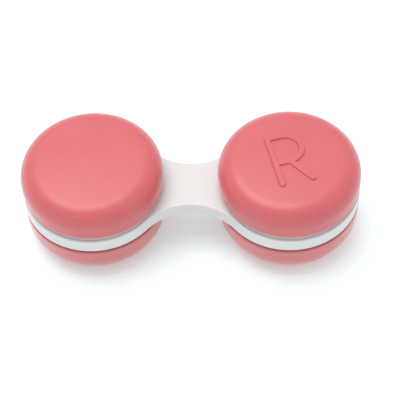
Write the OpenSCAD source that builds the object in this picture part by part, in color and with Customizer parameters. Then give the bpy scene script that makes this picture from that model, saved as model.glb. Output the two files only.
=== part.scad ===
// Contact lens case: two screw-capped wells on one waisted plate.
// Right side of the wearer is at +X. The case stands on Z = 0, centred on the origin.

/* [Plate] */
// Distance between the axes of the two cups
cup_pitch = 41.4; // [38:0.1:46]
// Radius of the round flange at each cup
rim_r = 15; // [14.6:0.1:16]
// Height of the plate's underside above the table
plate_z = 10; // [9.9:0.05:10.5]
// Thickness of the plate
plate_t = 3.3; // [2.8:0.05:3.4]
// Width of the waist halfway between the cups
waist_w = 11; // [8:0.5:14]
// Rounding of the plate's edges
plate_edge_r = 0.3; // [0.2:0.05:0.8]
// Depth of the pockets cored out of the web's underside
pocket_d = 1.6; // [1:0.1:2]
// Thickness of the wall round the pockets and of the rib between them
pocket_wall = 1.4; // [1.2:0.1:2]

/* [Well and neck] */
// Inside radius of the well
well_r = 10.2; // [9.8:0.1:10.4]
// Height of the well's floor above the table
well_floor_z = 4.4; // [4:0.1:6]
// Radius of the bowl between the well's wall and floor
bowl_r = 7; // [4:0.5:9]
// Thickness of the cup's wall
cup_t = 1.4; // [1.2:0.1:1.5]
// Height of the neck's top face
neck_top_z = 18; // [17.5:0.1:18.5]
// Number of low ribs that keep a lens from sticking to the floor
rib_count = 6; // [3:1:8]
// Height of the ribs above the floor
rib_h = 0.35; // [0.2:0.05:0.5]
// Width of the ribs
rib_w = 0.8; // [0.6:0.1:1.2]

/* [Screw thread] */
// Rise of the cap in one turn
pitch = 3; // [2.8:0.1:3.2]
// Height of a thread ridge above its wall
ridge_h = 0.75; // [0.6:0.05:0.85]
// Width of a ridge where it meets its wall
ridge_foot = 1.6; // [1.2:0.1:1.8]
// Width of a ridge at its crest
ridge_crest = 0.8; // [0.5:0.1:1]
// Length of the ridge round the neck, in degrees
neck_ridge_arc = 324; // [240:12:324]
// Length of the ridge round the inside of the cap, in degrees
cap_ridge_arc = 276; // [216:12:276]
// Gap between a crest and the wall that it passes
crest_gap = 0.25; // [0.2:0.05:0.3]

/* [Cap] */
// Outside radius of the cap
cap_r = 15; // [14.6:0.1:16]
// Height of the cap's rim above the table
cap_rim_z = 13.35; // [13.35:0.05:14]
// Height of the cap's top at its centre
cap_top_z = 21.9; // [21.4:0.1:24]
// Radius of the slightly crowned top
crown_r = 180; // [100:10:400]
// Radius of the shoulder between the top and the side
shoulder_r = 4.2; // [3:0.1:4.6]
// Rounding of the rim
cap_lip_r = 1.9; // [1:0.1:2.2]
// Thickness of the outer shell's side
shell_t = 1.5; // [1.4:0.1:1.8]

/* [Cap liner and seal] */
// Height of the liner's top face
liner_top_z = 19.9; // [19.7:0.1:20.2]
// Height of the ceiling over the well
ceiling_z = 18.7; // [18.6:0.1:19]
// Rounding of the liner's top edge
liner_edge_r = 2; // [1.5:0.1:2.5]
// Height of the liner's foot, the pale ring that shows under the outer shell
liner_foot_t = 0.5; // [0.5:0.05:0.7]
// How far the plug ring reaches into the well
plug_reach = 1; // [0.5:0.1:1.5]
// Thickness of the plug ring
plug_t = 0.8; // [0.6:0.1:1]
// Thickness of the silicone ring
seal_t = 0.8; // [0.6:0.1:1]

/* [Lower shell] */
// Outside radius of the lower shell
lower_r = 15; // [14.5:0.1:15]
// Height of the lower shell
lower_h = 9.3; // [9.2:0.05:9.8]
// Radius between the lower shell's base and side
lower_corner_r = 6.5; // [4.5:0.5:6.5]
// Thickness of the lower shell
lower_t = 1.45; // [1.2:0.05:1.5]
// Rounding of the lower shell's top edge
lower_edge_r = 0.4; // [0.3:0.1:0.7]
// Radius of the shallow recess in the base
recess_r = 7.2; // [5:0.1:7.5]
// Depth of the recess in the base
recess_d = 0.4; // [0.2:0.1:0.6]

/* [Side mark] */
// Height of the raised letter that tells the right cap from the left one
mark_h = 12; // [8:0.5:12]
// Width of the letter's strokes
mark_w = 1.4; // [0.7:0.1:1.4]
// How far the letter stands out of the cap
mark_relief = 0.4; // [0.15:0.05:0.5]
// Turn of the letter about the cap's axis
mark_turn = 15; // [-30:5:30]

/* [Hidden] */
$fn = 120;

white = [0.94, 0.95, 0.95];
pink = [0.91, 0.50, 0.52];
silicone = [0.88, 0.90, 0.91];

// Clearances and small rounds
gap = 0.05;
small_r = 0.25;
overlap = 0.15;

// Plate
plate_top_z = plate_z + plate_t;
half_pitch = cup_pitch / 2;
waist_r = (pow(half_pitch, 2) + pow(waist_w / 2, 2) - pow(rim_r, 2)) / (rim_r - waist_w / 2) / 2;
waist_y = waist_r + waist_w / 2;
tangent_x = half_pitch * waist_r / (rim_r + waist_r);
tangent_y = waist_y * rim_r / (rim_r + waist_r);
waist_cut_r = waist_r + gap;
pocket_half_x = half_pitch - rim_r - 0.4;

// Cup and neck
cup_r = well_r + cup_t;
cup_floor_z = well_floor_z - cup_t;
cup_bowl_r = bowl_r + cup_t;
rib_inner_r = 1.5;
rib_outer_r = 7;

// Liner, seal and the snap ring that carries the lower shell
liner_r = cap_r - shell_t;
liner_rim_z = cap_rim_z;
liner_foot_r = cap_r - cap_lip_r + sqrt(pow(cap_lip_r, 2) - pow(cap_lip_r - liner_foot_t, 2));
liner_bore_r = cup_r + ridge_h + crest_gap;
plug_r = well_r - 0.2;
seal_z = neck_top_z + gap;
seal_roof_z = seal_z + seal_t + gap;
seal_r = liner_bore_r - 0.15;
seal_bore_r = plug_r + 0.1;
snap_ring_r = lower_r - lower_t;
snap_ring_t = 1;
snap_ring_z = 8;
snap_bead_z = 8.7;
snap_bead_r = 0.35;

// Thread ridges: both follow one helix family, half a pitch apart
ridge_margin = 0.15;
steps_per_turn = 48;
neck_ridge_z = plate_top_z + ridge_foot / 2 + ridge_margin;
cap_ridge_z = liner_rim_z + ridge_foot / 2 + ridge_margin;
cap_ridge_start = 360 * (cap_ridge_z - neck_ridge_z + pitch / 2) / pitch;

// Outline of a turned part whose top is a shallow dome over a round shoulder.
// The dome, the shoulder and the side meet tangentially.
module domed_outline(r, z0, top_z, shoulder, dome_r, lip) {
    shoulder_x = r - shoulder;
    dome_z = top_z - dome_r;
    shoulder_z = dome_z + sqrt(pow(dome_r - shoulder, 2) - pow(shoulder_x, 2));
    meet_x = shoulder_x * dome_r / (dome_r - shoulder);
    intersection() {
        translate([0, dome_z]) circle(dome_r, $fn = 1440);
        translate([0, z0 + lip]) square([meet_x, top_z - z0]);
    }
    translate([shoulder_x, shoulder_z]) circle(shoulder);
    translate([0, z0 + lip]) square([r, shoulder_z - z0 - lip]);
    translate([r - lip, z0 + lip]) circle(lip);
    translate([0, z0]) square([r - lip, lip]);
}

// Outline of a flat-topped disc with one rounded top edge
module round_topped_outline(r, z0, z1, edge_r) {
    translate([0, z0]) square([r, z1 - edge_r - z0]);
    translate([0, z0]) square([r - edge_r, z1 - z0]);
    translate([r - edge_r, z1 - edge_r]) circle(edge_r);
}

// Outline of a bowl standing on a flat floor, open at the top
module bowl_outline(r, z0, z1, corner_r) {
    translate([0, z0 + corner_r]) square([r, z1 - z0 - corner_r]);
    translate([0, z0]) square([r - corner_r, z1 - z0]);
    intersection() {
        translate([r - corner_r, z0 + corner_r]) circle(corner_r);
        translate([0, z0]) square([r, corner_r]);
    }
}

// Corner points of one section of a thread ridge, at an angle along the helix.
// The ridge rises out of the wall over its first steps and sinks into it at the end.
function ridge_section(wall_r, out, z0, angle, arc) =
    let (
        run_in = 30,
        rise = min(1, angle / run_in, (arc - angle) / run_in),
        z = z0 + pitch * angle / 360,
        foot = wall_r - out * overlap,
        crest = wall_r + out * (ridge_h * rise - overlap / 2 * (1 - rise))
    )
    [
        [foot, z - ridge_foot / 2],
        [crest, z - ridge_crest / 2],
        [crest, z + ridge_crest / 2],
        [foot, z + ridge_foot / 2]
    ];

// One helical ridge: out = 1 stands outward from a neck, out = -1 inward from a bore
module thread_ridge(wall_r, out, z0, start, arc) {
    steps = round(steps_per_turn * arc / 360);
    points = [
        for (i = [0 : steps])
            let (angle = arc * i / steps)
            for (p = ridge_section(wall_r, out, z0, angle, arc))
                [p[0] * cos(start + angle), p[0] * sin(start + angle), p[1]]
    ];
    sides = [
        for (i = [0 : steps - 1])
            for (k = [0 : 3])
                let (a = 4 * i + k, b = 4 * i + (k + 1) % 4)
                for (face = [[a, b, b + 4], [a, b + 4, a + 4]])
                    out > 0 ? face : [face[2], face[1], face[0]]
    ];
    last = 4 * steps;
    ends = [[3, 2, 1, 0], [last, last + 1, last + 2, last + 3]];
    turned_ends = [for (e = ends) out > 0 ? e : [e[3], e[2], e[1], e[0]]];
    polyhedron(points = points, faces = concat(sides, turned_ends), convexity = 4);
}

// Section of the plate's edge where it curves round the waist, seen from the waist's own axis
module waist_outline() {
    difference() {
        translate([0, -1]) square([waist_cut_r + plate_edge_r, plate_t + 2]);
        for (z = [plate_edge_r, plate_t - plate_edge_r])
            translate([waist_cut_r + plate_edge_r, z]) circle(plate_edge_r);
        translate([waist_cut_r, plate_edge_r]) square([plate_edge_r + 1, plate_t - 2 * plate_edge_r]);
    }
}

// Web between the flanges, up to where the waist curves meet them
module bridge() {
    difference() {
        translate([0, 0, plate_z])
            linear_extrude(plate_t)
                polygon([
                    [-half_pitch, 0],
                    [-tangent_x, -tangent_y],
                    [tangent_x, -tangent_y],
                    [half_pitch, 0],
                    [tangent_x, tangent_y],
                    [-tangent_x, tangent_y]
                ]);
        for (side = [-1, 1])
            translate([side * half_pitch, 0, 0]) cylinder(h = plate_top_z + 1, r = cup_r - overlap);
    }
}

// Outline of the two pockets under the web, one on each side of the middle rib
module pocket_outline() {
    difference() {
        square([2 * pocket_half_x, waist_w + 2 * pocket_wall], center = true);
        square([pocket_wall, waist_w + 2 * pocket_wall], center = true);
        for (side = [-1, 1])
            translate([0, side * waist_y]) circle(waist_cut_r + pocket_wall);
    }
}

// Low radial ribs that follow the bowl of a well
module well_ribs() {
    intersection() {
        rotate_extrude() difference() {
            translate([rib_inner_r, cup_floor_z + cup_t / 2])
                square([rib_outer_r - rib_inner_r, cup_bowl_r]);
            translate([0, rib_h]) bowl_outline(well_r, well_floor_z, neck_top_z, bowl_r);
        }
        union() {
            for (i = [0 : rib_count - 1])
                rotate(360 * i / rib_count)
                    translate([0, -rib_w / 2, cup_floor_z]) cube([rib_outer_r, rib_w, 4]);
        }
    }
}

// Flange, cup, neck and the ring that the lower shell snaps onto
module cup_outline() {
    difference() {
        union() {
            translate([0, plate_z + plate_edge_r]) square([rim_r, plate_t - 2 * plate_edge_r]);
            translate([0, plate_z]) square([rim_r - plate_edge_r, plate_t]);
            for (z = [plate_z + plate_edge_r, plate_top_z - plate_edge_r])
                translate([rim_r - plate_edge_r, z]) circle(plate_edge_r);
            bowl_outline(cup_r, cup_floor_z, neck_top_z - small_r, cup_bowl_r);
            translate([0, neck_top_z - 1]) square([cup_r - small_r, 1]);
            translate([cup_r - small_r, neck_top_z - small_r]) circle(small_r);
            translate([snap_ring_r - snap_ring_t, snap_ring_z])
                square([snap_ring_t, plate_z - snap_ring_z + 1]);
            translate([snap_ring_r - snap_bead_r / 2, snap_bead_z]) circle(snap_bead_r);
        }
        bowl_outline(well_r, well_floor_z, neck_top_z + 1, bowl_r);
        polygon([
            [well_r - 1, neck_top_z + 1],
            [well_r - 1, neck_top_z - 1 - small_r],
            [well_r + small_r, neck_top_z],
            [well_r + small_r, neck_top_z + 1]
        ]);
        translate([-rim_r, 0]) square([rim_r, neck_top_z + 2]);
    }
}

module case_body() {
    color(white) {
        difference() {
            union() {
                bridge();
                for (side = [-1, 1])
                    translate([side * half_pitch, 0, 0]) {
                        rotate_extrude() cup_outline();
                        well_ribs();
                    }
            }
            translate([0, 0, plate_z - 1]) linear_extrude(1 + pocket_d) pocket_outline();
            for (side = [-1, 1])
                translate([0, side * waist_y, plate_z]) rotate_extrude() waist_outline();
        }
        for (side = [-1, 1])
            translate([side * half_pitch, 0, 0])
                thread_ridge(cup_r, 1, neck_ridge_z, 0, neck_ridge_arc);
    }
}

module lower_shell() {
    color(pink) rotate_extrude() difference() {
        union() {
            bowl_outline(lower_r, 0, lower_h - lower_edge_r, lower_corner_r);
            translate([0, lower_h - 1]) square([lower_r - lower_edge_r, 1]);
            translate([lower_r - lower_edge_r, lower_h - lower_edge_r]) circle(lower_edge_r);
        }
        bowl_outline(snap_ring_r, lower_t, lower_h + 1, lower_corner_r - lower_t);
        translate([snap_ring_r - snap_bead_r / 2, snap_bead_z]) circle(snap_bead_r + gap);
        translate([-lower_r, -1]) square([lower_r, lower_h + 2]);
        translate([0, -1]) square([recess_r, 1 + recess_d]);
    }
}

module seal() {
    color(silicone)
        rotate_extrude() translate([seal_bore_r, seal_z]) square([seal_r - seal_bore_r, seal_t]);
}

// The foot stands out from the liner as far as the cap's rounded rim
module liner_foot_outline() {
    translate([liner_bore_r, liner_rim_z]) square([liner_foot_r - small_r - liner_bore_r, liner_foot_t]);
    translate([liner_bore_r, liner_rim_z + small_r])
        square([liner_foot_r - liner_bore_r, liner_foot_t - small_r]);
    translate([liner_foot_r - small_r, liner_rim_z + small_r]) circle(small_r);
}

// Threaded inner part of the cap, with the plug ring that enters the well
module cap_liner() {
    color(white) {
        rotate_extrude() difference() {
            union() {
                intersection() {
                    round_topped_outline(liner_r, liner_rim_z, liner_top_z, liner_edge_r);
                    translate([0, liner_rim_z]) square([liner_r, liner_top_z]);
                }
                liner_foot_outline();
            }
            translate([0, liner_rim_z - 1]) square([plug_r - plug_t, ceiling_z - liner_rim_z + 1]);
            translate([0, liner_rim_z - 1])
                square([liner_bore_r, neck_top_z - plug_reach - liner_rim_z + 1]);
            translate([plug_r, liner_rim_z - 1])
                square([liner_bore_r - plug_r, seal_roof_z - liner_rim_z + 1]);
        }
        thread_ridge(liner_bore_r, -1, cap_ridge_z, cap_ridge_start, cap_ridge_arc);
    }
}

module cap_shell_outline() {
    difference() {
        domed_outline(cap_r, cap_rim_z, cap_top_z, shoulder_r, crown_r, cap_lip_r);
        round_topped_outline(liner_r, cap_rim_z - 1, liner_top_z, liner_edge_r);
        translate([0, cap_rim_z - 1]) square([cap_r, 1 + liner_foot_t]);
        translate([-cap_r, 0]) square([cap_r, cap_top_z + 1]);
    }
}

module cap_shell() {
    color(pink) rotate_extrude() cap_shell_outline();
}

// A straight stroke with round ends, along +X from the origin
module stroke(length) {
    translate([0, -mark_w / 2]) square([length, mark_w]);
    for (x = [0, length])
        translate([x, 0]) circle(mark_w / 2, $fn = 48);
}

// Plain block letter R, drawn about its own centre
module letter_r() {
    bowl = mark_h * 0.28;
    arm = mark_h * 0.26;
    bowl_y = mark_h / 2 - bowl;
    translate([-(arm + bowl) / 2, 0]) {
        translate([0, -mark_h / 2]) rotate(90) stroke(mark_h);
        for (y = [bowl_y - bowl, bowl_y + bowl])
            translate([0, y]) stroke(arm);
        translate([arm, bowl_y]) intersection() {
            difference() {
                circle(bowl + mark_w / 2);
                circle(bowl - mark_w / 2);
            }
            translate([0, -2 * bowl]) square([2 * bowl, 4 * bowl]);
        }
        leg = sqrt(pow(bowl, 2) + pow(mark_h / 2 - bowl + bowl_y, 2));
        translate([arm, bowl_y - bowl]) rotate(-atan2(mark_h - 2 * bowl, bowl)) stroke(leg);
    }
}

// The letter follows the dome of the cap's top
module raised_mark() {
    color(pink) intersection() {
        translate([0, 0, cap_top_z - 1]) rotate(mark_turn) linear_extrude(2) letter_r();
        translate([0, 0, cap_top_z - crown_r]) sphere(crown_r + mark_relief, $fn = 1440);
    }
}

module at_side(side) {
    translate([side * half_pitch, 0, 0]) children();
}

module left_lower_shell() { at_side(-1) lower_shell(); }
module right_lower_shell() { at_side(1) lower_shell(); }
module left_seal() { at_side(-1) seal(); }
module right_seal() { at_side(1) seal(); }
module left_cap_liner() { at_side(-1) cap_liner(); }
module right_cap_liner() { at_side(1) cap_liner(); }
module left_cap() { at_side(-1) cap_shell(); }
module right_cap() {
    at_side(1) {
        cap_shell();
        raised_mark();
    }
}

case_body();
left_lower_shell();
right_lower_shell();
left_seal();
right_seal();
left_cap_liner();
right_cap_liner();
left_cap();
right_cap();
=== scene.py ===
"""Looks of the contact lens case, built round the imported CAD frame.

Outlines and sizes are in millimetres, and become metres where a mesh is made.
A turned part's outline is a list of (radius, height) points about its own cup's axis.
"""

import math

import bmesh
import bpy
from mathutils import Matrix, Vector


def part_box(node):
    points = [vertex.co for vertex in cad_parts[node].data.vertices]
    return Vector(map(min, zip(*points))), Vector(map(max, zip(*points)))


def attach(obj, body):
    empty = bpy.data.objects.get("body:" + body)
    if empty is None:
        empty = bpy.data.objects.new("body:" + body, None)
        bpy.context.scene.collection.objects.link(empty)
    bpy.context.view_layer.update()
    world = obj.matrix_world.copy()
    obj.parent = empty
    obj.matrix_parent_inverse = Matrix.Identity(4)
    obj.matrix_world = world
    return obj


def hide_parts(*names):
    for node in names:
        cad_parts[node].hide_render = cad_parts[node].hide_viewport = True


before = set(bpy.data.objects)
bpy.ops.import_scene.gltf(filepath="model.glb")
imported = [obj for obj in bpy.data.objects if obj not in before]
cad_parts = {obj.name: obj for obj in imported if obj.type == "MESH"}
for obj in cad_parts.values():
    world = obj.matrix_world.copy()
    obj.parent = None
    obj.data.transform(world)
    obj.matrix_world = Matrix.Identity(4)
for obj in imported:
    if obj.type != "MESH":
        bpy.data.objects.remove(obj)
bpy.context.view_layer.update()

MM = 0.001
SEGMENTS = 192
LEFT, RIGHT = -1, 1
SIDES = {"left": LEFT, "right": RIGHT}


def box_mm(node):
    low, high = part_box(node)
    return low / MM, high / MM


# Sizes that the frame gives
case_low, case_high = box_mm("case_body")
cap_low, cap_high = box_mm("left_cap")
marked_high = box_mm("right_cap")[1]
liner_low, liner_high = box_mm("left_cap_liner")
seal_low, seal_high = box_mm("left_seal")
lower_low, lower_high = box_mm("left_lower_shell")

# AXIS_X is how far each cup's axis stands from the middle
AXIS_X = -(cap_low.x + cap_high.x) / 2
RIM_R = case_high.x - AXIS_X
CUP_BASE = case_low.z
NECK_TOP = case_high.z
CAP_R = (cap_high.x - cap_low.x) / 2
CAP_RIM = cap_low.z
CAP_TOP = cap_high.z
FOOT_R = (liner_high.x - liner_low.x) / 2
LINER_RIM = liner_low.z
LINER_TOP = liner_high.z
SEAL_R = (seal_high.x - seal_low.x) / 2
SEAL_LOW, SEAL_HIGH = seal_low.z, seal_high.z
LOWER_R = (lower_high.x - lower_low.x) / 2
LOWER_H = lower_high.z

# Plate
PLATE_Z = 10.0
PLATE_TOP = 13.3
PLATE_EDGE = 0.3
WAIST_WIDTH = 11.0
WAIST_R = (AXIS_X**2 + (WAIST_WIDTH / 2) ** 2 - RIM_R**2) / (RIM_R - WAIST_WIDTH / 2) / 2
WAIST_Y = WAIST_R + WAIST_WIDTH / 2
POCKET_DEPTH = 1.6
POCKET_WALL = 1.4
POCKET_END = AXIS_X - RIM_R - 0.4

# Cup, neck and snap ring
WALL = 1.4
CUP_R = 11.6
WELL_R = CUP_R - WALL
BOWL_R = 7.0
WELL_FLOOR = CUP_BASE + WALL
BOWL_X, BOWL_Z = WELL_R - BOWL_R, WELL_FLOOR + BOWL_R
RIB_COUNT = 6
RIB_WIDTH, RIB_HEIGHT = 0.8, 0.35
RIB_START, RIB_END = 1.5, 7.0
SNAP_R = 13.55
SNAP_WALL = 1.0
SNAP_Z = 8.0
BEAD_Z, BEAD_R = 8.7, 0.35

# Screw thread
PITCH = 3.0
RIDGE_HEIGHT = 0.75
RIDGE_FOOT, RIDGE_CREST = 1.6, 0.8
NECK_RIDGE_ARC, CAP_RIDGE_ARC = 324, 276
NECK_RIDGE_Z = PLATE_TOP + RIDGE_FOOT / 2 + 0.15
CAP_RIDGE_Z = LINER_RIM + RIDGE_FOOT / 2 + 0.15
CAP_RIDGE_START = 360 * (CAP_RIDGE_Z - NECK_RIDGE_Z + PITCH / 2) / PITCH
RIDGE_STEP = 4
RIDGE_ROUND = 0.25
# Depth that ribs, ridges and the letter are sunk into what they stand on
SUNK = 0.12

# Cap, liner and seal
CROWN_R = 180.0
SHOULDER_R = 4.2
CAP_LIP = 1.9
LINER_R = CAP_R - 1.5
LINER_EDGE = 2.0
LIP_START = 6 - math.degrees(math.asin(1 - (CAP_RIM - LINER_RIM) / CAP_LIP))
LINER_BORE = CUP_R + RIDGE_HEIGHT + 0.25
PLUG_R, PLUG_WALL = WELL_R - 0.2, 0.8
PLUG_Z = NECK_TOP - 1.0
CEILING = 18.7
SEAL_ROOF = SEAL_HIGH + 0.05

# Lower shell
LOWER_WALL = 1.45
LOWER_CORNER = 6.5
LOWER_EDGE = 0.4
RECESS_R, RECESS_DEPTH = 7.2, 0.4
GATE_R, GATE_DEPTH = 1.6, 0.25

# Raised letter on the right cap
MARK_HEIGHT = 12.0
MARK_STROKE = 1.4
MARK_TURN = math.radians(15)
MARK_RELIEF = marked_high.z - CAP_TOP - 0.01
MARK_STEP = 0.09
MARK_FLARE = 0.08
MARK_BEVEL = 0.28


# Outlines


def arc(r, z, radius, start, end, steps=8):
    """Points on an arc about (r, z), from one angle to another in degrees."""
    angles = [math.radians(start + (end - start) * i / steps) for i in range(steps + 1)]
    return [(r + radius * math.cos(a), z + radius * math.sin(a)) for a in angles]


def rounded(corners, steps=5):
    """Outline through corners (r, z, radius), each one replaced by an arc of its radius."""
    points = []
    for i, (r, z, radius) in enumerate(corners):
        corner = Vector((r, z))
        if not radius:
            points.append((r, z))
            continue
        before = (Vector(corners[i - 1][:2]) - corner).normalized()
        after = (Vector(corners[(i + 1) % len(corners)][:2]) - corner).normalized()
        half = before.angle(after) / 2
        centre = corner + (before + after).normalized() * (radius / math.sin(half))
        first = corner + before * (radius / math.tan(half)) - centre
        last = corner + after * (radius / math.tan(half)) - centre
        points += [tuple(centre + first.slerp(last, k / steps) * radius) for k in range(steps + 1)]
    return points


def dome(radius):
    """Height of the cap's crowned top."""
    return CAP_TOP - CROWN_R + math.sqrt(CROWN_R**2 - radius**2)


def cup_outline():
    return (
        [(0, CUP_BASE)]
        + arc(BOWL_X, BOWL_Z, BOWL_R + WALL, -90, 0, 20)
        + rounded(
            [
                (CUP_R, BOWL_Z, 0),
                (CUP_R, NECK_TOP, 0.25),
                (WELL_R + 0.2, NECK_TOP, 0.1),
                (WELL_R, NECK_TOP - 0.3, 0.1),
                (WELL_R, BOWL_Z, 0),
            ]
        )
        + arc(BOWL_X, BOWL_Z, BOWL_R, 0, -90, 20)
        + [(0, WELL_FLOOR)]
    )


def snap_ring_outline():
    inner, top = SNAP_R - SNAP_WALL, PLATE_Z + 0.2
    foot = rounded([(inner, top, 0), (inner, SNAP_Z, 0.2), (SNAP_R, SNAP_Z, 0.2), (SNAP_R, top, 0)])[:-1]
    return foot + arc(SNAP_R - BEAD_R / 2, BEAD_Z, BEAD_R, -60, 60) + [(SNAP_R, top)]


def lower_shell_outline():
    corner_x = LOWER_R - LOWER_CORNER
    inner_corner = LOWER_CORNER - LOWER_WALL
    inner = LOWER_R - LOWER_WALL
    return (
        rounded(
            [
                (0, RECESS_DEPTH + GATE_DEPTH, 0),
                (GATE_R, RECESS_DEPTH + GATE_DEPTH, 0.2),
                (GATE_R + 0.2, RECESS_DEPTH, 0.15),
                (RECESS_R - 0.1, RECESS_DEPTH, 0.3),
                (RECESS_R, 0, 0.15),
                (corner_x, 0, 0),
            ]
        )
        + arc(corner_x, LOWER_CORNER, LOWER_CORNER, -90, 0, 24)
        + rounded(
            [
                (LOWER_R, LOWER_CORNER, 0),
                (LOWER_R, LOWER_H, LOWER_EDGE),
                (inner, LOWER_H, 0.12),
                (inner, LOWER_CORNER, 0),
            ]
        )[:-1]
        + arc(inner - BEAD_R / 2, BEAD_Z, BEAD_R + 0.05, 60, -60)
        + arc(corner_x, LOWER_CORNER, inner_corner, 0, -90, 16)
        + [(0, LOWER_WALL)]
    )


def cap_outline():
    shoulder_x = CAP_R - SHOULDER_R
    shoulder_z = CAP_TOP - CROWN_R + math.sqrt((CROWN_R - SHOULDER_R) ** 2 - shoulder_x**2)
    lean = math.degrees(math.atan2(shoulder_z - CAP_TOP + CROWN_R, shoulder_x))
    meet_x = CROWN_R * math.cos(math.radians(lean))
    inner_x = LINER_R + 0.01
    ceiling = LINER_TOP + 0.01
    lip_x, lip_z = CAP_R - CAP_LIP, LINER_RIM + CAP_LIP
    lip = arc(lip_x, lip_z, CAP_LIP, LIP_START, 0, 20)
    return (
        rounded(
            [
                (0, ceiling, 0),
                (inner_x, ceiling, LINER_EDGE),
                (inner_x, CAP_RIM + 0.01, 0),
                (FOOT_R, CAP_RIM + 0.01, 0.06),
                (*lip[0], 0),
            ],
            8,
        )
        + lip
        + arc(shoulder_x, shoulder_z, SHOULDER_R, 0, lean, 30)
        + [(meet_x * k / 12, dome(meet_x * k / 12)) for k in range(11, -1, -1)]
    )


def liner_outline():
    return rounded(
        [
            (0, CEILING, 0),
            (PLUG_R - PLUG_WALL, CEILING, 0.3),
            (PLUG_R - PLUG_WALL, PLUG_Z, 0.3),
            (PLUG_R, PLUG_Z, 0.3),
            (PLUG_R, SEAL_ROOF, 0.1),
            (LINER_BORE, SEAL_ROOF, 0.15),
            (LINER_BORE, LINER_RIM, 0.2),
            (FOOT_R, LINER_RIM, 0.24),
            (FOOT_R, CAP_RIM, 0.05),
            (LINER_R, CAP_RIM, 0.05),
            (LINER_R, LINER_TOP, LINER_EDGE),
            (0, LINER_TOP, 0),
        ]
    )


def seal_outline():
    inner, edge = PLUG_R + 0.1, 0.25
    return rounded(
        [
            (inner, SEAL_LOW, edge),
            (SEAL_R, SEAL_LOW, edge),
            (SEAL_R, SEAL_HIGH, edge),
            (inner, SEAL_HIGH, edge),
        ]
    )


# Solids: each one is (vertices, faces), in millimetres


def lathe(outline):
    """An outline turned about Z. One that starts and ends on the axis closes itself there."""
    outline = [p for i, p in enumerate(outline) if i == 0 or math.dist(p, outline[i - 1]) > MM]
    angles = [2 * math.pi * k / SEGMENTS for k in range(SEGMENTS)]
    vertices, faces, rings = [], [], []
    for r, z in outline:
        if r < MM:
            rings.append([len(vertices)] * SEGMENTS)
            vertices.append((0, 0, z))
        else:
            rings.append(list(range(len(vertices), len(vertices) + SEGMENTS)))
            vertices += [(r * math.cos(a), r * math.sin(a), z) for a in angles]
    on_axis = outline[0][0] < MM
    for low, high in zip(rings, rings[1:] if on_axis else rings[1:] + rings[:1]):
        for k in range(SEGMENTS):
            after = (k + 1) % SEGMENTS
            faces.append(tuple(dict.fromkeys((low[k], low[after], high[after], high[k]))))
    return vertices, faces


def ridge(path, foot, crest, height, run_in):
    """A strip with a rounded section along a path of (point, across, out) frames.

    It rises out of its wall over its first steps and sinks into it over its last ones.
    """
    section = rounded(
        [
            (-foot / 2, -SUNK, 0),
            (-crest / 2, height, RIDGE_ROUND),
            (crest / 2, height, RIDGE_ROUND),
            (foot / 2, -SUNK, 0),
        ]
    )
    last, width = len(path) - 1, len(section)
    vertices, faces = [], []
    for i, (point, across, out) in enumerate(path):
        rise = max(0.05, min(1, i / run_in, (last - i) / run_in))
        rise = rise * rise * (3 - 2 * rise)
        for s, h in section:
            vertices.append(tuple(point + across * s + out * ((h + SUNK) * rise - SUNK)))
    for i in range(last):
        for k in range(width):
            a, b = i * width + k, i * width + (k + 1) % width
            faces.append((a, b, b + width, a + width))
    faces += [tuple(range(width)), tuple(range(last * width, (last + 1) * width))]
    return vertices, faces


def thread(wall_r, out, z, start, turn):
    """A helical ridge: out is 1 on a neck and -1 inside a bore."""
    path = []
    for i in range(turn // RIDGE_STEP + 1):
        swept = i * RIDGE_STEP
        angle = math.radians(start + swept)
        radial = Vector((math.cos(angle), math.sin(angle), 0))
        place = radial * wall_r + Vector((0, 0, z + PITCH * swept / 360))
        path.append((place, Vector((0, 0, 1)), radial * out))
    return ridge(path, RIDGE_FOOT, RIDGE_CREST, RIDGE_HEIGHT, run_in=8)


def well_rib(angle):
    """A low rib that follows the bowl outwards, so that a lens doesn't stick to it."""
    radial = Vector((math.cos(angle), math.sin(angle), 0))
    across = Vector((-math.sin(angle), math.cos(angle), 0))
    path = []
    for i in range(25):
        r = RIB_START + (RIB_END - RIB_START) * i / 24
        slope = math.asin(max(0, r - BOWL_X) / BOWL_R)
        up = Vector((0, 0, math.cos(slope))) - radial * math.sin(slope)
        z = BOWL_Z - BOWL_R * math.cos(slope)
        path.append((radial * r + Vector((0, 0, z)), across, up))
    return ridge(path, RIB_WIDTH, RIB_WIDTH * 0.7, RIB_HEIGHT, run_in=3)


def plate_loop(inset):
    """The plate's outline, drawn in by inset: two flange arcs joined by two waist arcs."""
    lean = math.degrees(math.atan2(WAIST_Y, AXIS_X))
    flange, waist = RIM_R - inset, WAIST_R + inset
    return (
        arc(AXIS_X, 0, flange, lean - 180, 180 - lean, 140)[:-1]
        + arc(0, WAIST_Y, waist, -lean, lean - 180, 48)[:-1]
        + arc(-AXIS_X, 0, flange, lean, 360 - lean, 140)[:-1]
        + arc(0, -WAIST_Y, waist, 180 - lean, lean, 48)[:-1]
    )


def pocket_loop(side, inset):
    """Outline of one pocket under the web, drawn in by inset."""
    curve = WAIST_R + POCKET_WALL + inset
    start, end = side * (POCKET_WALL / 2 + inset), side * (POCKET_END - inset)
    xs = [start + (end - start) * k / 12 for k in range(13)]
    edge = [(x, WAIST_Y - math.sqrt(curve**2 - x**2)) for x in xs]
    return [(x, -y) for x, y in edge] + edge[::-1]


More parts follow.
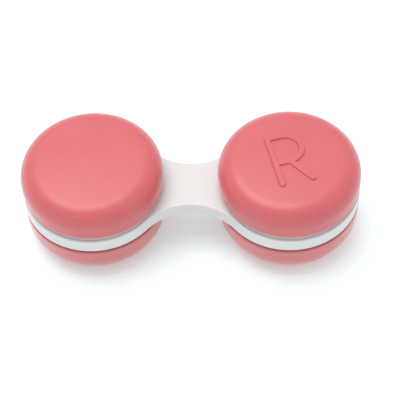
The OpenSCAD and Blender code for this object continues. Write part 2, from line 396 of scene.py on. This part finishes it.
def plate_mesh():
    """The waisted plate, with a hole for each cup and two pockets under its web."""
    form = bmesh.new()

    def ring(points, z):
        return [form.verts.new((x, y, z)) for x, y in points]

    def skin(rings):
        for low, high in zip(rings, rings[1:]):
            for k in range(len(low)):
                form.faces.new((low[k - 1], low[k], high[k], high[k - 1]))

    def fill(*rings):
        pairs = [(points[k - 1], points[k]) for points in rings for k in range(len(points))]
        edges = [form.edges.get(pair) or form.edges.new(pair) for pair in pairs]
        bmesh.ops.triangle_fill(form, use_beauty=True, edges=edges)

    flat = PLATE_EDGE + 0.4
    profile = [(flat, PLATE_Z)]
    profile += arc(PLATE_EDGE, PLATE_Z + PLATE_EDGE, -PLATE_EDGE, 90, 0, 5)
    profile += arc(PLATE_EDGE, PLATE_TOP - PLATE_EDGE, -PLATE_EDGE, 0, -90, 5)
    profile += [(flat, PLATE_TOP)]
    rim = [ring(plate_loop(inset), z) for inset, z in profile]
    skin(rim)
    top, bottom = [rim[-1]], [rim[0]]
    for side in SIDES.values():
        hole = arc(side * AXIS_X, 0, CUP_R - 0.2, 0, 360, 96)[:-1]
        walls = [ring(hole, PLATE_Z), ring(hole, PLATE_TOP)]
        skin(walls)
        bottom.append(walls[0])
        top.append(walls[1])
        steps = [(-0.15, 0), (0, 0.15), (0.1, POCKET_DEPTH - 0.3), (0.4, POCKET_DEPTH)]
        pocket = [ring(pocket_loop(side, inset), PLATE_Z + z) for inset, z in steps]
        skin(pocket)
        bottom.append(pocket[0])
        fill(pocket[-1])
    fill(*top)
    fill(*bottom)
    vertices = [tuple(v.co) for v in form.verts]
    form.verts.index_update()
    faces = [tuple(v.index for v in f.verts) for f in form.faces]
    form.free()
    return vertices, faces


def letter_distance(x, y):
    """Distance from a point to the middle line of a plain block letter R about the origin."""
    bowl, arm = MARK_HEIGHT * 0.28, MARK_HEIGHT * 0.26
    foot, top = -MARK_HEIGHT / 2, MARK_HEIGHT / 2
    left, elbow = -(arm + bowl) / 2, (arm - bowl) / 2
    middle = top - 2 * bowl
    strokes = [
        ((left, foot), (left, top)),
        ((left, top), (elbow, top)),
        ((left, middle), (elbow, middle)),
        ((elbow, middle), (elbow + bowl, foot)),
    ]
    here = Vector((x, y))
    found = []
    for start, end in strokes:
        start, along = Vector(start), Vector(end) - Vector(start)
        share = max(0, min(1, (here - start).dot(along) / along.length_squared))
        found.append((here - start - along * share).length)
    if x >= elbow:
        found.append(abs((here - Vector((elbow, middle + bowl))).length - bowl))
    return min(found)


def mark_mesh():
    """The raised letter: a patch that follows the dome, sunk just below it between the strokes."""
    half_x, half_y = MARK_HEIGHT * 0.27 + MARK_STROKE, MARK_HEIGHT / 2 + MARK_STROKE
    across, along = round(2 * half_x / MARK_STEP), round(2 * half_y / MARK_STEP)
    turn = Matrix.Rotation(MARK_TURN, 2)
    vertices, faces = [], []
    for j in range(along + 1):
        for i in range(across + 1):
            x, y = half_x * (2 * i / across - 1), half_y * (2 * j / along - 1)
            edge = (MARK_STROKE / 2 + MARK_FLARE - letter_distance(x, y)) / MARK_BEVEL
            edge = max(0, min(1, edge))
            lift = (MARK_RELIEF + SUNK) * edge * edge * (3 - 2 * edge) - SUNK
            place = turn @ Vector((x, y))
            vertices.append((place.x, place.y, dome(place.length) + lift))
    row = across + 1
    top = len(vertices)
    for j in range(along):
        for i in range(across):
            a = j * row + i
            faces.append((a, a + 1, a + row + 1, a + row))
    border = list(range(row))
    border += [j * row + across for j in range(1, along + 1)]
    border += [along * row + i for i in range(across - 1, -1, -1)]
    border += [j * row for j in range(along - 1, 0, -1)]
    vertices += [(vertices[i][0], vertices[i][1], CAP_TOP - 1) for i in border]
    count = len(border)
    for k in range(count):
        after = (k + 1) % count
        faces.append((border[k], top + k, top + after, border[after]))
    faces.append(tuple(range(top, top + count)))
    return vertices, faces


# Materials, in metres: noise scales are in cells a metre
DRIFT_SCALE = 110
GLOSS_SCALE = 420
WAVE_SCALE = 260
GRAIN_SCALE = 7500


def plastic(name, deep, pale, gloss, grain, wave=0.000006, **sockets):
    """Moulded plastic: colour that drifts slowly, uneven gloss and a fine grain.

    gloss is its lowest and highest roughness, grain and wave the depths of its fine and slow unevenness.
    """
    material = bpy.data.materials.new(name)
    material.use_nodes = True
    nodes, links = material.node_tree.nodes, material.node_tree.links
    shader = nodes["Principled BSDF"]
    place = nodes.new("ShaderNodeTexCoord").outputs["Object"]

    def noise(scale, detail, low=0.0, high=1.0):
        texture = nodes.new("ShaderNodeTexNoise")
        texture.inputs["Scale"].default_value = scale
        texture.inputs["Detail"].default_value = detail
        links.new(place, texture.inputs["Vector"])
        spread = nodes.new("ShaderNodeMapRange")
        for socket, value in zip(("From Min", "From Max", "To Min", "To Max"), (0.3, 0.7, low, high)):
            spread.inputs[socket].default_value = value
        links.new(texture.outputs["Fac"], spread.inputs["Value"])
        return spread.outputs["Result"]

    drift = nodes.new("ShaderNodeMix")
    drift.data_type = "RGBA"
    drift.inputs[6].default_value = (*deep, 1)
    drift.inputs[7].default_value = (*pale, 1)
    links.new(noise(DRIFT_SCALE, 4), drift.inputs[0])
    links.new(drift.outputs[2], shader.inputs["Base Color"])
    links.new(noise(GLOSS_SCALE, 2, *gloss), shader.inputs["Roughness"])
    normal = None
    for scale, depth in ((WAVE_SCALE, wave), (GRAIN_SCALE, grain)):
        bump = nodes.new("ShaderNodeBump")
        bump.inputs["Distance"].default_value = depth
        links.new(noise(scale, 2), bump.inputs["Height"])
        if normal:
            links.new(normal, bump.inputs["Normal"])
        normal = bump.outputs["Normal"]
    links.new(normal, shader.inputs["Normal"])
    for socket, value in sockets.items():
        shader.inputs[socket.replace("_", " ")].default_value = value
    return material


cap_pink = plastic(
    "soft_touch_pink",
    (0.542, 0.092, 0.107),
    (0.572, 0.103, 0.118),
    gloss=(0.38, 0.48),
    grain=0.000004,
    Sheen_Weight=0.4,
    Sheen_Roughness=0.3,
    Coat_Weight=0.3,
    Coat_Roughness=0.25,
)
shell_pink = plastic(
    "soft_touch_pink_shell",
    (0.560, 0.123, 0.130),
    (0.590, 0.135, 0.142),
    gloss=(0.32, 0.42),
    grain=0.000004,
    Sheen_Weight=0.5,
    Sheen_Roughness=0.3,
    Coat_Weight=0.5,
    Coat_Roughness=0.25,
)
white_plastic = plastic(
    "white_polypropylene",
    (0.650, 0.650, 0.650),
    (0.680, 0.680, 0.680),
    gloss=(0.29, 0.35),
    grain=0.000002,
    Subsurface_Weight=0.12,
    Subsurface_Scale=0.0015,
)
liner_white = plastic(
    "liner_polypropylene",
    (0.65, 0.67, 0.67),
    (0.68, 0.70, 0.70),
    gloss=(0.3, 0.42),
    grain=0.000003,
    Subsurface_Weight=0.1,
    Subsurface_Scale=0.0015,
)
silicone = plastic(
    "clear_silicone",
    (0.72, 0.76, 0.78),
    (0.80, 0.83, 0.84),
    gloss=(0.3, 0.4),
    grain=0.000002,
    Transmission_Weight=0.35,
    IOR=1.41,
)


# Pieces
SHARP_ANGLE = math.radians(40)


def add_piece(name, body, cad_node, material, solids, x=0.0):
    """One object made of closed solids, on a CAD body, standing for a CAD node."""
    vertices, faces = [], []
    for solid_vertices, solid_faces in solids:
        first = len(vertices)
        vertices += [Vector(v) * MM for v in solid_vertices]
        faces += [[first + i for i in face] for face in solid_faces]
    mesh = bpy.data.meshes.new(name)
    mesh.from_pydata(vertices, [], faces)
    form = bmesh.new()
    form.from_mesh(mesh)
    bmesh.ops.recalc_face_normals(form, faces=form.faces)
    form.to_mesh(mesh)
    form.free()
    mesh.materials.append(material)
    mesh.shade_smooth()
    mesh.set_sharp_from_angle(angle=SHARP_ANGLE)
    piece = bpy.data.objects.new(name, mesh)
    piece.location.x = x * MM
    bpy.context.scene.collection.objects.link(piece)
    piece.modifiers.new("even_normals", "WEIGHTED_NORMAL").keep_sharp = True
    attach(piece, body)
    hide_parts(cad_node)


add_piece("plate", "case", "case_body", white_plastic, [plate_mesh()])
for name, side in SIDES.items():
    x = side * AXIS_X
    cup = [lathe(cup_outline()), lathe(snap_ring_outline())]
    cup += [well_rib(2 * math.pi * k / RIB_COUNT) for k in range(RIB_COUNT)]
    cup.append(thread(CUP_R, 1, NECK_RIDGE_Z, 0, NECK_RIDGE_ARC))
    liner = [lathe(liner_outline()), thread(LINER_BORE, -1, CAP_RIDGE_Z, CAP_RIDGE_START, CAP_RIDGE_ARC)]
    cap_body, cap_node = f"{name}_cap_unit", f"{name}_cap"
    add_piece(f"{name}_cup", "case", "case_body", white_plastic, cup, x)
    shell = [lathe(lower_shell_outline())]
    add_piece(f"{name}_shell", "case", f"{name}_lower_shell", shell_pink, shell, x)
    gasket = [lathe(seal_outline())]
    add_piece(f"{name}_gasket", f"{name}_seal_ring", f"{name}_seal", silicone, gasket, x)
    add_piece(f"{name}_liner", cap_body, f"{name}_cap_liner", liner_white, liner, x)
    cover = [lathe(cap_outline())]
    add_piece(f"{name}_cover", cap_body, cap_node, cap_pink, cover, x)
add_piece("right_mark", "right_cap_unit", "right_cap", cap_pink, [mark_mesh()], AXIS_X)

# Camera, at the photograph's viewing angle. Distances are in metres, the lens and sensor in millimetres.
VIEW_ANGLES = (3.1, 54.14, -2.87)
VIEW_TARGET = (1.715, 0, 7.37)
VIEW_DISTANCE = 0.3134
VIEW_LENS = 131.1
VIEW_SENSOR = 36
azimuth, elevation, roll = (math.radians(a) for a in VIEW_ANGLES)
target = Vector(VIEW_TARGET) * MM
right = Vector((math.cos(azimuth), math.sin(azimuth), 0))
away = Vector((math.sin(azimuth), -math.cos(azimuth), 0))
back = away * math.cos(elevation) + Vector((0, 0, math.sin(elevation)))
up = back.cross(right)
x_axis = right * math.cos(roll) + up * math.sin(roll)
y_axis = up * math.cos(roll) - right * math.sin(roll)
camera = bpy.data.objects.new("camera", bpy.data.cameras.new("camera"))
camera.data.lens = VIEW_LENS
camera.data.sensor_width = VIEW_SENSOR
camera.data.clip_start = 0.01
turned = Matrix((x_axis, y_axis, back)).transposed().to_4x4()
camera.matrix_world = Matrix.Translation(target + back * VIEW_DISTANCE) @ turned
bpy.context.scene.collection.objects.link(camera)
bpy.context.scene.camera = camera

# Light: a soft sky, brightest above and behind the case, one broad lamp and a glowing floor
SKY_AXIS = (0, 0.45, 0.89)
SKY_RANGE = (0.7, 0.97)
# The floor's cyan tint is painted light: it cancels the pink light that the case bounces onto the floor
FLOOR_DEEP = (0.69, 0.81, 0.81)
FLOOR_PALE = (0.71, 0.83, 0.83)
FLOOR_GLOW = (0.25, 0.5)
# Across this reach from the centre the floor's glow rises from its first value to its second: painted
# shade round the case
PAINTED_SHADE_REACH = (0.05, 0.25)
KEY_PLACE = (-0.12, 0.1, 0.6)
KEY_SIZE = 0.5
KEY_POWER = 2.2

# Floor: its glow is dimmer near the case, painted shade round it
bpy.ops.mesh.primitive_plane_add(size=3, location=(0, 0, 0))
floor = bpy.context.object
floor.name = "floor"
paper = plastic("floor_paper", FLOOR_DEEP, FLOOR_PALE, gloss=(0.85, 0.95), grain=0.000001)
paper_nodes, paper_links = paper.node_tree.nodes, paper.node_tree.links
paper_nodes["Principled BSDF"].inputs["Emission Color"].default_value = (1, 1, 1, 1)
from_centre = paper_nodes.new("ShaderNodeVectorMath")
from_centre.operation = "LENGTH"
paper_links.new(paper_nodes.new("ShaderNodeTexCoord").outputs["Object"], from_centre.inputs[0])
# Glow weaker near the case: painted shade round it
spread = paper_nodes.new("ShaderNodeMapRange")
spread.interpolation_type = "SMOOTHSTEP"
for socket, value in zip(("From Min", "From Max", "To Min", "To Max"), PAINTED_SHADE_REACH + FLOOR_GLOW):
    spread.inputs[socket].default_value = value
paper_links.new(from_centre.outputs["Value"], spread.inputs["Value"])
paper_links.new(spread.outputs["Result"], paper_nodes["Principled BSDF"].inputs["Emission Strength"])
floor.data.materials.append(paper)

world = bpy.data.worlds.new("studio")
world.use_nodes = True
sky_nodes, sky_links = world.node_tree.nodes, world.node_tree.links
sky_nodes["Background"].inputs["Color"].default_value = (1, 1, 1, 1)
direction = sky_nodes.new("ShaderNodeTexCoord").outputs["Generated"]
facing = sky_nodes.new("ShaderNodeVectorMath")
facing.operation = "DOT_PRODUCT"
facing.inputs[1].default_value = SKY_AXIS
sky_links.new(direction, facing.inputs[0])
fade = sky_nodes.new("ShaderNodeMapRange")
for socket, value in zip(("From Min", "From Max", "To Min", "To Max"), (-0.3, 1, *SKY_RANGE)):
    fade.inputs[socket].default_value = value
sky_links.new(facing.outputs["Value"], fade.inputs["Value"])
sky_links.new(fade.outputs["Result"], sky_nodes["Background"].inputs["Strength"])
bpy.context.scene.world = world


def area_light(name, place, aim, size, power):
    light = bpy.data.objects.new(name, bpy.data.lights.new(name, "AREA"))
    light.data.shape = "DISK"
    light.data.size = size
    light.data.energy = power
    light.location = place
    light.rotation_mode = "QUATERNION"
    light.rotation_quaternion = (Vector(aim) - Vector(place)).to_track_quat("-Z", "Y")
    bpy.context.scene.collection.objects.link(light)


area_light("key", KEY_PLACE, (0, 0, 0), KEY_SIZE, KEY_POWER)
bpy.context.scene.view_settings.view_transform = "Standard"
